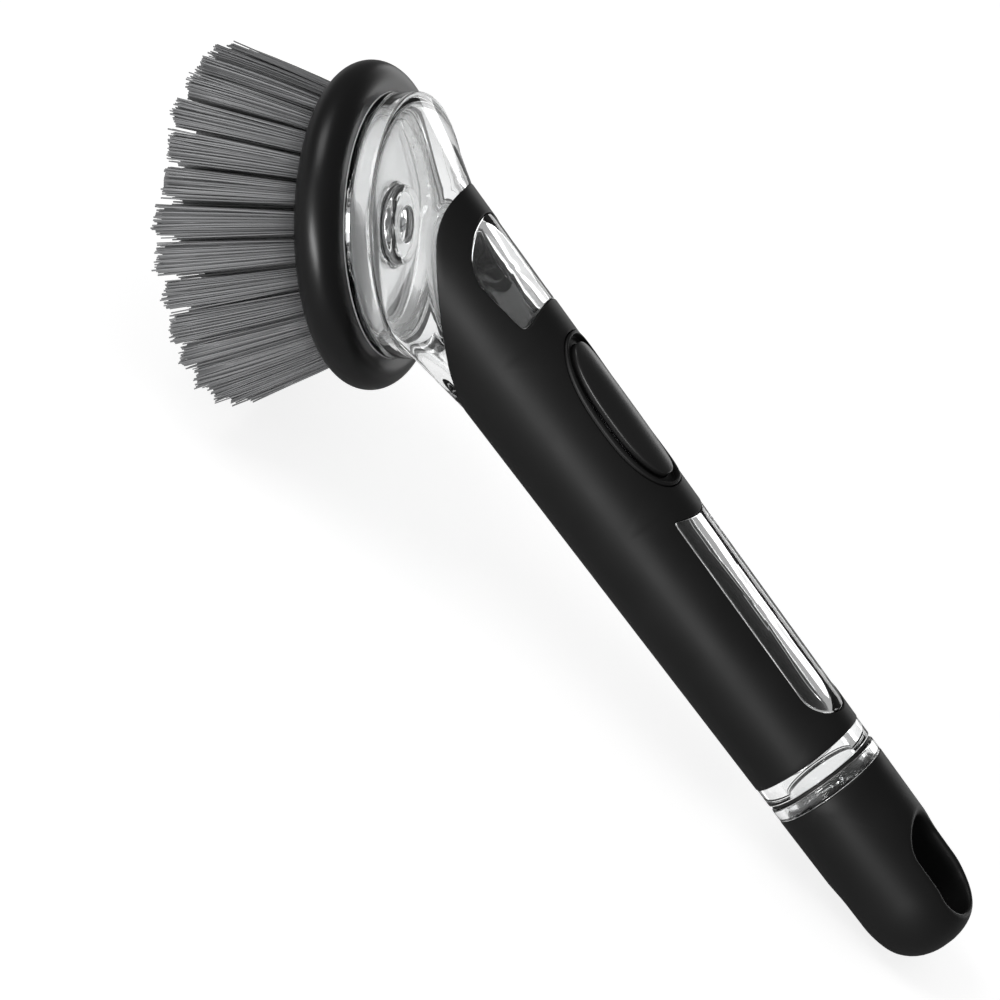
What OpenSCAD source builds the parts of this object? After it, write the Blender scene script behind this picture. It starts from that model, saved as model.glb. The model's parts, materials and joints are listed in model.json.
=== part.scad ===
// A soap-dispensing dish wand: a round brush head on a clear soap tube with a black grip,
// a pump button under the thumb and a screw-on tail cap with a hanging hole.
// Millimetres. It lies as on a worktop, on its bristles and its tail, with the tail towards +X.

/* [Brush head] */
// Outer diameter of the black ring round the bristles
ring_d = 74; // [68:0.5:84]
// Thickness of the ring
ring_t = 10.6; // [9.6:0.1:13]
// Width of the rounded bumper that surrounds the brush plate
bumper_w = 7; // [6:0.1:9]
// Thickness of the slice of plate that each row of bristles is set in
slice_t = 1.4; // [1:0.1:2]
// Wall of the brush plate round the socket of the twist lock
socket_wall = 2.7; // [2.2:0.1:3.4]
// Thickness of the web of the brush plate above the bristles
web_t = 2.9; // [2:0.1:3.5]
// Length of the bristles below the plate
bristle_len = 31.4; // [22:0.2:40]
// Diameter of the circle that the bristle tips reach
tip_d = 82; // [76:0.5:90]
// Radius of the slice of plate that the innermost row of bristles is set in
inner_slice_r = 10.8; // [10.2:0.1:12]
// Distance from the edge of a slice to the middle of its tufts
root_inset = 3; // [2.8:0.1:3.4]
// Spacing of the rows of tufts at their tips
tip_pitch = 10; // [8:0.1:10.5]
// Tufts in the outer row
outer_tufts = 28; // [26:1:30]
// Tufts that each row has fewer than the row outside it
tufts_less = 6; // [5:1:6]
// Width of one strand at its root
strand_w = 1.2; // [0.9:0.05:1.3]
// Radius of a tuft at its tips
tuft_tip_r = 2.7; // [2.2:0.1:3.2]

/* [Clear body] */
// Distance from the edge of the ring to the clear flange that sits on it
flange_margin = 7.9; // [7:0.1:9]
// Height of the flange band above the ring
flange_h = 6.3; // [5:0.1:8]
// Width of the step where the dome rises from the flange
step_w = 0.9; // [0.5:0.1:2]
// Wall of the soap tube
wall_t = 2; // [1.6:0.1:2.4]
// Thickness of the floor above the brush plate
floor_t = 2.5; // [2:0.1:3]
// Wall of the spigot that the brush head twists on to
spigot_t = 2.4; // [2.2:0.1:3]
// Depth of the spigot below the flange
spigot_h = 5; // [4.6:0.1:5.4]
// Diameter of the outlet boss in the floor
boss_d = 18; // [17:0.2:20]
// Diameter of the soap outlet
outlet_d = 8; // [7:0.2:9]

/* [Handle] */
// Angle between the handle and the face of the brush head
elbow = 33; // [28:1:38]
// Height above the ring at which the handle axis crosses the head axis
axis_rise = 4.6; // [4:0.1:6]
// Radius of the grip at the head end of the handle axis
grip_r0 = 16.12; // [15.6:0.02:17]
// Loss of grip radius for each millimetre of handle
grip_taper = 0.0134; // [0.008:0.0002:0.016]
// Distance along the handle axis to the end of the grip
grip_end = 148.7; // [147:0.5:165]
// Thickness of the soft grip
grip_t = 2; // [1.6:0.1:2.2]
// Height above the ring at which the grip ends towards the head
grip_front_z = 15; // [14.4:0.2:17]
// Distance by which the clear body lies below the surface of the grip
flush_gap = 0.15; // [0.05:0.05:0.4]

/* [Windows] */
// Distance along the handle to the front of the front window
front_window_s = 7.1; // [6.5:0.1:8]
// Half width of the front window at its round front
front_window_half = 11.7; // [10.5:0.1:12]
// Half width of the front window at its rear corners
front_window_rear_half = 10.3; // [9.5:0.1:10.8]
// Distance along the handle to the rear corners of the front window
front_window_end = 33.6; // [32.5:0.1:34.5]
// Distance along the handle to the front corners of the rear window
rear_window_s = 86.8; // [86:0.1:90]
// Half width of the rear window
rear_window_half = 8.4; // [7.5:0.1:8.8]
// Distance along the handle to the round end of the rear window
rear_window_end = 144.3; // [130:0.5:145]
// Bulge of the window edges that face the button
window_bulge = 2.4; // [1.5:0.1:2.6]

/* [Pump button] */
// Distance along the handle to the middle of the button
button_s = 60.4; // [60:0.1:61.4]
// Half length of the recess round the button
recess_half_l = 20.9; // [20:0.1:21.5]
// Half width of the recess round the button
recess_half_w = 9.5; // [9.3:0.1:9.6]
// Distance from the edge of the recess to the button
button_inset = 3; // [2.8:0.05:3.2]
// Travel of the button
button_travel = 2; // [1.5:0.1:2.1]
// Height of the button above the surface of the grip
button_proud = 0.3; // [0:0.05:0.8]
// Height of the lip round the recess above the surface of the grip
lip_proud = 0.4; // [0.2:0.05:0.8]
// Depth of the recess floor below the surface of the grip
recess_depth = 1.3; // [1:0.05:1.5]
// Height of the flat deck under the button, from the handle axis
deck_x = 9.5; // [9.3:0.05:9.6]
// Wire of the return spring
spring_wire = 0.5; // [0.4:0.05:0.6]

/* [Tail cap] */
// Length of clear body that shows behind the grip
tail_band = 4.8; // [4:0.1:6]
// Thickness of the sealing ring between body and cap
gasket_t = 0.8; // [0.6:0.05:1.2]
// Length of the clear collar of the cap
collar_len = 3.3; // [3:0.1:5]
// Length of the black cap
cap_len = 45; // [44:0.5:52]
// Outer radius of the black cap at its mouth
cap_r = 14.05; // [13.95:0.05:14.4]
// Loss of radius of the cap up to its rounded end
cap_taper = 0.014; // [0.005:0.001:0.02]
// Length of the rounded end of the cap
cap_round = 16; // [14:0.5:18]
// Outer radius of the threaded neck
neck_r = 10.9; // [10.8:0.05:11]
// Wall of the threaded neck
neck_wall = 1.8; // [1.5:0.1:2]
// Length of the threaded neck
neck_len = 13.5; // [13:0.1:14.5]
// Height of the thread
thread_h = 0.8; // [0.7:0.05:0.9]
// Distance that the cap moves in one full turn
cap_lead = 8; // [7.6:0.1:8.6]
// Distance from the end of the cap to the hanging hole
hang_margin = 4; // [3.5:0.1:5.5]
// Length of the hanging hole
hang_len = 24.5; // [22:0.5:25]
// Width of the hanging hole
hang_w = 15; // [12:0.5:16]

/* [Clearances] */
// Gap between pieces that are moulded or pressed together
seat_gap = 0.05; // [0.02:0.01:0.08]
// Gap between pieces that turn or slide on each other
running_gap = 0.3; // [0.25:0.05:0.35]
// Gap on each side of the sealing rings
seal_gap = 0.1; // [0.05:0.01:0.15]

/* [Hidden] */
$fn = 96;
clear_plastic = [0.86, 0.89, 0.9, 0.45];
soft_black = [0.1, 0.1, 0.1];
hard_black = [0.05, 0.05, 0.05];
silicone = [0.75, 0.76, 0.77];
bristle_grey = [0.45, 0.45, 0.46];
reach = 400; // longer than the object, for cutting tools

// Radii and heights of the brush head, from the ring's upper face at height 0
ring_r = ring_d / 2;
plate_r = ring_r - bumper_w;
socket_r = plate_r - socket_wall;
spigot_r = socket_r - running_gap;
flange_r = ring_r - flange_margin;
web_top = -(ring_t - slice_t - web_t);
seal_t = -spigot_h - web_top - 2 * seal_gap;
port_r = 3.5;
port_wall = 1.5;
spout_seal_t = 1;
spout_seal_r = 6;
floor_top = 0.5;
boss_h = 2.5;
floor_low = floor_top - floor_t;
boss_wall = 1.7;
pocket_roof = 0.3;
retainer_t = 1.2;
valve_r = boss_d / 2 - boss_wall - 0.2;

// The twist lock: pins in the socket run in steep grooves round the spigot
pin_r = 1.2;
pin_z = -1.9;
lock_lead = 36;
lock_turn = 45;
lock_pins = 3;
groove_deep = 1.2;
groove_half = 1.6;
lock_over = 6; // turn of groove past the pin when the head is off
lock_rest = 3.6; // turn of groove past the pin when the head is on

// Rows of bristles
rows = 4;
strand_gap = 0.5;
tip_w = 1;
tip_uneven = 1.6;
foot_cut = 0.5;
row_pitch = (plate_r - inner_slice_r) / (rows - 1);
function root_r(row) = plate_r - row * row_pitch - root_inset;
function tip_r(row) = tip_d / 2 - 0.87 * tuft_tip_r - tip_w / 2 - row * tip_pitch;
function tufts(row) = outer_tufts - row * tufts_less;
function slice_r(row) = plate_r - seat_gap - row * row_pitch;
function chance(k) = let(v = 997 * sin(k * 137.5)) v - floor(v);

// Handle: s runs along its axis from the head to the tail
function grip_r(s) = grip_r0 - grip_taper * s;
function body_r(s) = grip_r(s) - grip_t - seat_gap;
function bore_r(s) = grip_r(s) - grip_t - wall_t;
elbow_s = -20; // where the handle starts, inside the dome
shoulder_s = grip_end + tail_band;
neck_end = shoulder_s + neck_len;
neck_bore_r = neck_r - neck_wall;
tail_r = grip_r(grip_end) - flush_gap;
gasket_inset = 0.45;

// Pump, by height above the handle axis towards the thumb
bellows_t = 0.8;
press_room = 0.2; // left under the carrier when the button is pressed home
carrier_x = deck_x + bellows_t + button_travel + press_room;
bellows_rise = carrier_x - running_gap - deck_x - bellows_t;
carrier_t = 0.9;
deck_t = 2.1;
flange_inset = 1;
hat_inset = 5.4;
deck_hole_inset = 5.2;
spring_cup_r = 2.9;
spring_cup_wall = 0.6;
spring_cup_low = 1.5;
spring_cup_floor = 1;
bridge_w = 8;
bridge_t = 1.2;
spring_turns = 5;
spring_r = 2.15;
spring_low = spring_cup_low + spring_cup_floor;
spring_high = deck_x + bellows_t + bellows_rise - bellows_t;
bezel_gap = 0.25;
button_gap = 0.5;
lip_w = 0.8;

// Tail cap, by distance along the handle axis
collar_s = shoulder_s + gasket_t + 2 * seal_gap;
cover_s = collar_s + collar_len;
cap_bore_r = neck_r + thread_h + running_gap;
collar_wall = 0.9;
cap_inner_r = cap_bore_r + collar_wall;
cap_floor_s = neck_end + 1;
cap_floor_t = 1.6;
cover_bore_r = cap_inner_r + seat_gap;
cover_bore_end = cap_floor_s + cap_floor_t + 0.2;
cap_end = cover_s + cap_len;
round_s = cap_end - cap_round;
round_power = 2.4;
round_steps = 14;
thread_starts = 2;
thread_turn = 270;
thread_start = 4.5;
thread_root_w = 1.6;
thread_crest_w = 0.9;
thread_sink = 0.3;
hang_r = hang_w / 2;
hang_s = cap_end - hang_margin - hang_len / 2;
vent_r = 1.2;
vent_disc_r = 3.8;
vent_disc_t = 0.6;

// Radius of the cap at distance s, and its outline from the axis round to the tail end
function cap_r_at(s) = s <= round_s ? cap_r - cap_taper * (s - cover_s)
    : (cap_r - cap_taper * (round_s - cover_s))
        * pow(max(0, 1 - pow((s - round_s) / cap_round, round_power)), 1 / round_power);
cap_outline = [
    [cap_r_at(cover_s), cover_s],
    for (k = [0:round_steps]) let(s = round_s + cap_round * sin(90 * k / round_steps)) [cap_r_at(s), s]
];

// How the wand lies: tilted about Y until the bristle rim and the cap touch the same level
function low_point(x, z, tilt) = -x * sin(tilt) + z * cos(tilt);
function tail_low(tilt) = min([for (p = cap_outline)
    low_point(p[1] * cos(elbow) + p[0] * sin(elbow), axis_rise + p[1] * sin(elbow) - p[0] * cos(elbow), tilt)]);
function rim_low(tilt) = low_point(tip_d / 2, -ring_t - bristle_len, tilt) + foot_cut;
function level(low, high, turns) = turns == 0 ? (low + high) / 2
    : tail_low((low + high) / 2) > rim_low((low + high) / 2) ? level((low + high) / 2, high, turns - 1)
    : level(low, (low + high) / 2, turns - 1);
rest_tilt = level(20, 80, 40);
rest_rise = -tail_low(rest_tilt);

// The strand in cell j of a row, on the inner or outer side of its tuft: four corners at root and tip
function corners(row, j, side, r, spread, w, z) = let(turn = 360 * (floor(j / 2) + 0.5) / tufts(row),
        x = r + (2 * side - 1) * spread[0], y = (j % 2 == 0 ? -1 : 1) * spread[1])
    [for (c = [[-1, -1], [1, -1], [1, 1], [-1, 1]]) let(u = x + c[0] * w / 2, v = y + c[1] * w / 2)
        [u * cos(turn) - v * sin(turn), u * sin(turn) + v * cos(turn), z]];
function root_corners(row, j, side) = let(gap = (strand_w + strand_gap) / 2)
    corners(row, j, side, root_r(row), [gap, gap], strand_w, -ring_t);
function free_corners(row, j, side) = let(k = 200 * row + 4 * j + side)
    corners(row, j, side, tip_r(row), [tuft_tip_r * (0.62 + 0.25 * chance(k)), tuft_tip_r * (0.7 + 0.3 * chance(k + 1))],
        tip_w, -ring_t - bristle_len + tip_uneven * chance(k + 2));
// Where the wand stands on its bristles they are cut level with the surface under it
function tip_corners(row, j, side) = let(root = root_corners(row, j, side), tip = free_corners(row, j, side))
    [for (c = [0:3]) let(low = rest_rise + low_point(tip[c][0], tip[c][2], rest_tilt),
        high = rest_rise + low_point(root[c][0], root[c][2], rest_tilt))
        low >= 0 ? tip[c] : tip[c] + (root[c] - tip[c]) * -low / (high - low)];

// The middle of the length of the wand as it lies, which goes over the origin
far_left = min([for (j = [0:2 * tufts(0) - 1], side = [0, 1], p = tip_corners(0, j, side))
    p[0] * cos(rest_tilt) + p[2] * sin(rest_tilt)]);
far_right = max([for (p = cap_outline, side = [-1, 1])
    (p[1] * cos(elbow) - side * p[0] * sin(elbow)) * cos(rest_tilt)
    + (axis_rise + p[1] * sin(elbow) + side * p[0] * cos(elbow)) * sin(rest_tilt)]);
rest_shift = -(far_left + far_right) / 2;

// Puts a piece of the head where it lies at rest
module lying()
    translate([rest_shift, 0, rest_rise]) rotate([0, rest_tilt, 0]) children();

// Puts a piece on the handle: z along the handle, x towards the thumb
module on_handle()
    translate([0, 0, axis_rise]) rotate([0, 90 - elbow, 0]) rotate([0, 0, 180]) children();

// A stretch of handle, inset from the surface of the grip
module handle_cone(inset, from, to)
    translate([0, 0, from])
        cylinder(r1 = grip_r(from) - inset, r2 = grip_r(to) - inset, h = to - from);

// The stretch of handle under and round the button
module button_cone(inset)
    handle_cone(inset, button_s - recess_half_l - 5, button_s + recess_half_l + 5);

// A flat outline over the handle, drawn as (s, y), made a block between two heights towards the thumb
module thumb_block(low, high)
    translate([low, 0, 0]) rotate([0, 90, 0]) linear_extrude(high - low) mirror([1, 0]) children();

// Everything on the tail side of the plane where the grip ends, which is parallel to the ring
module behind_grip_front(shift = 0)
    translate([-reach / 2, -reach / 2, grip_front_z + shift]) cube(reach);

module pipe(outer, inner, low, high)
    translate([0, 0, low]) difference() {
        cylinder(r = outer, h = high - low);
        translate([0, 0, -1]) cylinder(r = inner, h = high - low + 2);
    }

// A closed solid through a list of rings of points
module skin(rings) {
    n = len(rings);
    m = len(rings[0]);
    sides = [for (i = [0:n - 2], j = [0:m - 1]) each
        let(a = i * m + j, b = i * m + (j + 1) % m) [[a, b, b + m], [a, b + m, a + m]]];
    first = [for (j = [1:m - 2]) [0, j + 1, j]];
    last = [for (j = [1:m - 2]) [(n - 1) * m, (n - 1) * m + j, (n - 1) * m + j + 1]];
    polyhedron([for (ring = rings) each ring], concat(sides, first, last));
}

// A ridge or groove that climbs round the z axis: profile points are (radius, height)
module helix(profile, lead, from, to, z0, steps)
    skin([for (k = [0:steps]) let(turn = from + (to - from) * k / steps)
        [for (p = profile) [p[0] * cos(turn), p[0] * sin(turn), z0 + p[1] + lead * turn / 360]]]);

function ridge(root, crest) = let(side = sign(crest - root))
    [[root, -side * thread_root_w / 2], [crest, -side * thread_crest_w / 2],
    [crest, side * thread_crest_w / 2], [root, side * thread_root_w / 2]];

// Outline of the recess round the button, inset all round
oval_power = 2.5;
oval_points = 56;
function bent(c) = sign(c) * pow(abs(c), 2 / oval_power);
module oval(inset)
    translate([button_s, 0]) polygon([for (k = [0:oval_points - 1]) let(c = 360 * k / oval_points)
        [(recess_half_l - inset) * bent(cos(c)), (recess_half_w - inset) * bent(sin(c))]]);

// Radius of an arc of the given bulge over the given half width
function bulge_r(half) = (half * half + window_bulge * window_bulge) / (2 * window_bulge);

module front_window(inset) {
    corner_r = 1.5;
    arc_r = bulge_r(front_window_rear_half);
    difference() {
        hull() {
            translate([front_window_s + front_window_half, 0]) circle(r = front_window_half - inset, $fn = 72);
            for (side = [-1, 1])
                translate([front_window_end - corner_r, side * (front_window_rear_half - corner_r)])
                    circle(r = corner_r - inset, $fn = 24);
        }
        translate([front_window_end - window_bulge + arc_r, 0]) circle(r = arc_r + inset, $fn = 96);
    }
}

module rear_window(inset) {
    corner_r = 1;
    arc_r = bulge_r(rear_window_half);
    difference() {
        hull() {
            translate([rear_window_end - rear_window_half, 0]) circle(r = rear_window_half - inset, $fn = 72);
            for (side = [-1, 1])
                translate([rear_window_s + corner_r, side * (rear_window_half - corner_r)])
                    circle(r = corner_r - inset, $fn = 24);
        }
        translate([rear_window_s + window_bulge - arc_r, 0]) circle(r = arc_r + inset, $fn = 96);
    }
}

// The slanted slice of the handle at a height above the ring, a little thick
module handle_slice(r, z)
    translate([(z - axis_rise) / tan(elbow), 0, z - 0.02]) scale([1 / sin(elbow), 1, 1])
        cylinder(r = r, h = 0.02, $fn = 48);

// The dome that leads from the flange into the slanted tube, inset from its outside
module dome(inset, low, high) {
    front_r = grip_r(axis_rise) - flush_gap - inset;
    hull() {
        translate([0, 0, low]) cylinder(r = flange_r - step_w - inset, h = 0.02, $fn = 48);
        handle_slice(front_r, low + 0.02);
        handle_slice(front_r, high);
    }
}

module clear_outside() {
    cylinder(r = flange_r, h = flange_h);
    translate([0, 0, floor_low]) cylinder(r = spigot_r, h = floor_t);
    pipe(spigot_r, spigot_r - spigot_t, -spigot_h, 0.1);
    dome(0, flange_h - 0.02, grip_front_z - seat_gap);
    intersection() {
        on_handle() handle_cone(grip_t + seat_gap, elbow_s, grip_end + 1);
        behind_grip_front(-2);
    }
    on_handle() {
        intersection() {
            handle_cone(flush_gap, front_window_s, rear_window_end + 1);
            union() {
                thumb_block(0, grip_r0) front_window(seat_gap);
                thumb_block(0, grip_r0) rear_window(seat_gap);
            }
        }
        translate([0, 0, grip_end + seat_gap]) cylinder(r = tail_r, h = tail_band - seat_gap);
        translate([0, 0, shoulder_s - 1]) cylinder(r = neck_r, h = neck_len + 1);
        for (start = [0:thread_starts - 1]) rotate([0, 0, 360 * start / thread_starts])
            helix(ridge(neck_r - thread_sink, neck_r + thread_h), cap_lead, 0, thread_turn,
                shoulder_s + thread_start, 15);
    }
}

module clear_inside() {
    translate([0, 0, floor_top]) cylinder(r = flange_r - wall_t - step_w, h = flange_h - floor_top - 1);
    dome(wall_t + 0.2, flange_h - 1.1, grip_front_z - 1.8);
    intersection() {
        on_handle() handle_cone(grip_t + wall_t, elbow_s, grip_end);
        behind_grip_front(flange_h - grip_front_z);
    }
    on_handle() translate([0, 0, grip_end - 1]) cylinder(r = neck_bore_r, h = tail_band + neck_len + 2);
}

module reservoir() color(clear_plastic) lying() {
    difference() {
        clear_outside();
        difference() {
            clear_inside();
            translate([0, 0, floor_low]) cylinder(r = boss_d / 2, h = floor_t + boss_h);
            on_handle() thumb_block(deck_x - deck_t, deck_x) oval(0.3);
            on_handle() translate([0, 0, button_s]) rotate([0, 90, 0])
                translate([0, 0, spring_cup_low])
                    cylinder(r = spring_cup_r + spring_cup_wall, h = deck_x - spring_cup_low);
        }
        translate([0, 0, floor_low - 1]) cylinder(r = boss_d / 2 - boss_wall, h = floor_t - pocket_roof + 1);
        translate([0, 0, floor_low]) cylinder(r = outlet_d / 2, h = floor_t + boss_h + 1);
        on_handle() {
            thumb_block(deck_x, grip_r0 + 1) oval(0);
            difference() {
                thumb_block(0, deck_x + 1) oval(deck_hole_inset);
                translate([0, 0, button_s]) rotate([0, 90, 0]) translate([0, 0, spring_cup_low])
                    cylinder(r = spring_cup_r + spring_cup_wall, h = deck_x - deck_t + bridge_t - spring_cup_low);
                translate([deck_x - deck_t, -recess_half_w, button_s - bridge_w / 2])
                    cube([bridge_t, 2 * recess_half_w, bridge_w]);
            }
            translate([0, 0, button_s]) rotate([0, 90, 0]) translate([0, 0, spring_low])
                cylinder(r = spring_cup_r, h = deck_x);
        }
        for (pin = [0:lock_pins - 1]) rotate([0, 0, 360 * pin / lock_pins])
            helix([[spigot_r - groove_deep, -groove_half], [spigot_r + 1, -groove_half],
                [spigot_r + 1, groove_half], [spigot_r - groove_deep, groove_half]],
                lock_lead, -lock_turn - lock_over, lock_rest, pin_z, 12);
    }
}

module grip_sleeve() color(soft_black) lying() difference() {
    intersection() {
        on_handle() handle_cone(0, elbow_s, grip_end);
        behind_grip_front();
    }
    on_handle() {
        handle_cone(grip_t, elbow_s, grip_end + 1);
        thumb_block(0, grip_r0 + 1) front_window(0);
        thumb_block(0, grip_r0 + 1) rear_window(0);
        thumb_block(0, grip_r0 + 1) oval(0);
    }
}

module button_bezel() color(hard_black) lying() on_handle() difference() {
    union() {
        intersection() {
            thumb_block(deck_x + bellows_t, grip_r0) oval(bezel_gap);
            button_cone(recess_depth);
        }
        intersection() {
            thumb_block(deck_x + bellows_t, grip_r0 + 1) oval(bezel_gap);
            button_cone(-lip_proud);
            difference() {
                thumb_block(0, grip_r0 + 1) oval(0);
                thumb_block(-1, grip_r0 + 2) oval(bezel_gap + lip_w);
            }
        }
    }
    thumb_block(0, grip_r0 + 2) oval(button_inset - button_gap);
}

module button_pad() color(soft_black) lying() on_handle() intersection() {
    thumb_block(carrier_x + carrier_t, grip_r0 + 1) oval(button_inset);
    button_cone(-button_proud);
}

module button_carrier() color(hard_black) lying() on_handle()
    thumb_block(carrier_x, carrier_x + carrier_t) oval(button_inset);

module pump_bellows() color(silicone) lying() on_handle() difference() {
    union() {
        thumb_block(deck_x, deck_x + bellows_t) oval(flange_inset);
        thumb_block(deck_x, deck_x + bellows_t + bellows_rise) oval(hat_inset);
    }
    thumb_block(deck_x - 1, deck_x + bellows_rise) oval(hat_inset + bellows_t);
}

module return_spring() color("silver") lying() on_handle() translate([0, 0, button_s]) rotate([0, 90, 0])
    skin([for (k = [0:8 * spring_turns]) let(turn = 45 * k, rise = (spring_high - spring_low - spring_wire - 0.1)
        / (8 * spring_turns))
        [for (c = [0:60:300]) let(r = spring_r + spring_wire / 2 * cos(c))
            [r * cos(turn), r * sin(turn), spring_low + 0.05 + spring_wire / 2 + rise * k
                + spring_wire / 2 * sin(c)]]]);

module outlet_valve() color(silicone) lying() difference() {
    union() {
        translate([0, 0, floor_low + retainer_t])
            cylinder(r = valve_r, h = floor_t - pocket_roof - retainer_t - seat_gap);
        translate([0, 0, floor_low + 0.4]) cylinder(r = outlet_d / 2 - 0.4, h = 2);
        translate([0, 0, floor_low + retainer_t]) cylinder(r1 = 2.2, r2 = 1.4, h = 3.2);
    }
    translate([0, 0, floor_low + 0.3]) cylinder(r = 1.2, h = 2.9);
    for (turn = [0, 90]) rotate([0, 0, turn]) translate([-2, -0.15, floor_low]) cube([4, 0.3, reach]);
}

module valve_retainer() color(hard_black) lying()
    pipe(boss_d / 2 - boss_wall - seat_gap, outlet_d / 2, floor_low, floor_low + retainer_t - seat_gap);

module head_seal() color(silicone) lying()
    pipe(spigot_r - 0.1, spigot_r - spigot_t + 0.1, web_top + seal_gap, web_top + seal_gap + seal_t);

module spout_seal() color(silicone) lying()
    pipe(spout_seal_r, port_r + 0.1, floor_low - running_gap - spout_seal_t, floor_low - running_gap);

module brush_plate() color(hard_black) lying() {
    pipe(plate_r - seat_gap, socket_r, web_top - 0.1, -running_gap);
    pipe(plate_r - seat_gap, port_r, -ring_t + slice_t, web_top);
    pipe(spout_seal_r, port_r, web_top - 0.1, floor_low - running_gap - spout_seal_t);
    pipe(port_r + port_wall, port_r, -ring_t, -ring_t + slice_t + 0.1);
    for (pin = [0:lock_pins - 1]) rotate([0, 0, 360 * pin / lock_pins])
        translate([spigot_r - groove_deep + running_gap, 0, pin_z]) rotate([0, 90, 0])
            cylinder(r = pin_r, h = groove_deep + 0.3);
}

module rim_bumper() color(hard_black) lying() rotate_extrude() {
    rim_r = ring_t / 2;
    intersection() {
        translate([ring_r - rim_r, -rim_r]) circle(r = rim_r);
        translate([plate_r, -ring_t]) square([bumper_w, ring_t]);
    }
    translate([plate_r, -ring_t]) square([bumper_w - rim_r, ring_t]);
}

// One row as a closed skin: a ring of the plate in cells, two round and two across for each tuft,
// with one strand out of each cell
module bristle_row(row) {
    n = 2 * tufts(row);
    inner = row == rows - 1 ? port_r + port_wall : slice_r(row + 1);
    edges = [(inner + seat_gap) / cos(180 / n), root_r(row), slice_r(row)];
    top_z = slice_t - ring_t - seat_gap;
    function place(r, j, z) = [r * cos(360 * j / n), r * sin(360 * j / n), z];
    low = [for (r = edges, j = [0:n - 1]) place(r, j, -ring_t)];
    high = [for (r = [edges[0], edges[2]], j = [0:n - 1]) place(r, j, top_z)];
    hairs = [for (j = [0:n - 1], b = [0, 1]) each concat(root_corners(row, j, b), tip_corners(row, j, b))];
    faces = [for (j = [0:n - 1]) each let(k = (j + 1) % n)
        [[4 * n + j, 4 * n + k, 2 * n + k], [4 * n + j, 2 * n + k, 2 * n + j],
         [3 * n + k, 3 * n + j, j], [3 * n + k, j, k],
         [3 * n + j, 3 * n + k, 4 * n + k], [3 * n + j, 4 * n + k, 4 * n + j]]];
    hair_faces = [for (j = [0:n - 1], b = [0, 1]) each
        let(k = (j + 1) % n, cell = [b * n + j, (b + 1) * n + j, (b + 1) * n + k, b * n + k],
            root = 5 * n + 8 * (2 * j + b), tip = root + 4)
        concat([for (c = [0:3]) each let(d = (c + 1) % 4)
            [[cell[c], cell[d], root + d], [cell[c], root + d, root + c],
             [root + c, root + d, tip + d], [root + c, tip + d, tip + c]]],
            [[tip, tip + 1, tip + 2], [tip, tip + 2, tip + 3]])];
    color(bristle_grey) lying() polyhedron(concat(low, high, hairs), concat(faces, hair_faces));
}

module bristles_outer_row() bristle_row(0);

module bristles_second_row() bristle_row(1);

module bristles_third_row() bristle_row(2);

module bristles_inner_row() bristle_row(3);

module cap_gasket() color([0.12, 0.12, 0.12]) lying() on_handle()
    pipe(tail_r - gasket_inset, cap_bore_r, shoulder_s + seal_gap, shoulder_s + seal_gap + gasket_t);

module cap_collar() color(clear_plastic) lying() on_handle() {
    rotate_extrude() polygon([[tail_r, collar_s], [tail_r, cover_s - seat_gap], [cap_inner_r, cover_s - seat_gap],
        [cap_inner_r, cap_floor_s + cap_floor_t], [vent_r, cap_floor_s + cap_floor_t], [vent_r, cap_floor_s],
        [cap_bore_r, cap_floor_s], [cap_bore_r, collar_s]]);
    for (start = [0:thread_starts - 1]) rotate([0, 0, 360 * (start + 0.5) / thread_starts])
        helix(ridge(cap_bore_r + thread_sink, cap_bore_r - thread_h + 0.15), cap_lead, 0, thread_turn,
            shoulder_s + thread_start, 15);
}

module cap_cover() color(soft_black) lying() on_handle() difference() {
    rotate_extrude() polygon(concat([[0, cover_s]], cap_outline));
    translate([0, 0, cover_s - 1]) cylinder(r = cover_bore_r, h = cover_bore_end - cover_s + 1);
    translate([0, 0, hang_s]) rotate([0, 90, 0]) translate([0, 0, -reach / 2]) {
        for (end = [-1, 1]) translate([end * (hang_len / 2 - hang_r), 0, 0]) cylinder(r = hang_r, h = reach);
        translate([hang_r - hang_len / 2, -hang_r, 0]) cube([hang_len - 2 * hang_r, 2 * hang_r, reach]);
    }
    translate([0, 0, cover_bore_end - 1]) cylinder(r = vent_r, h = hang_s - cover_bore_end);
}

module vent_valve() color(silicone) lying() on_handle() {
    translate([0, 0, cap_floor_s - seal_gap - vent_disc_t])
        cylinder(r1 = vent_disc_r - 0.4, r2 = vent_disc_r, h = vent_disc_t);
    translate([0, 0, cap_floor_s - 0.3]) cylinder(r = vent_r - 0.4, h = cap_floor_t + 0.3);
}

reservoir();
grip_sleeve();
button_bezel();
button_pad();
button_carrier();
pump_bellows();
return_spring();
outlet_valve();
valve_retainer();
head_seal();
spout_seal();
brush_plate();
rim_bumper();
bristles_outer_row();
bristles_second_row();
bristles_third_row();
bristles_inner_row();
cap_gasket();
cap_collar();
cap_cover();
vent_valve();
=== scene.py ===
# Dish wand: the looks of every piece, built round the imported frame
import json
import math
import bmesh
import bpy
import numpy as np
from mathutils import Matrix, Vector


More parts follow.
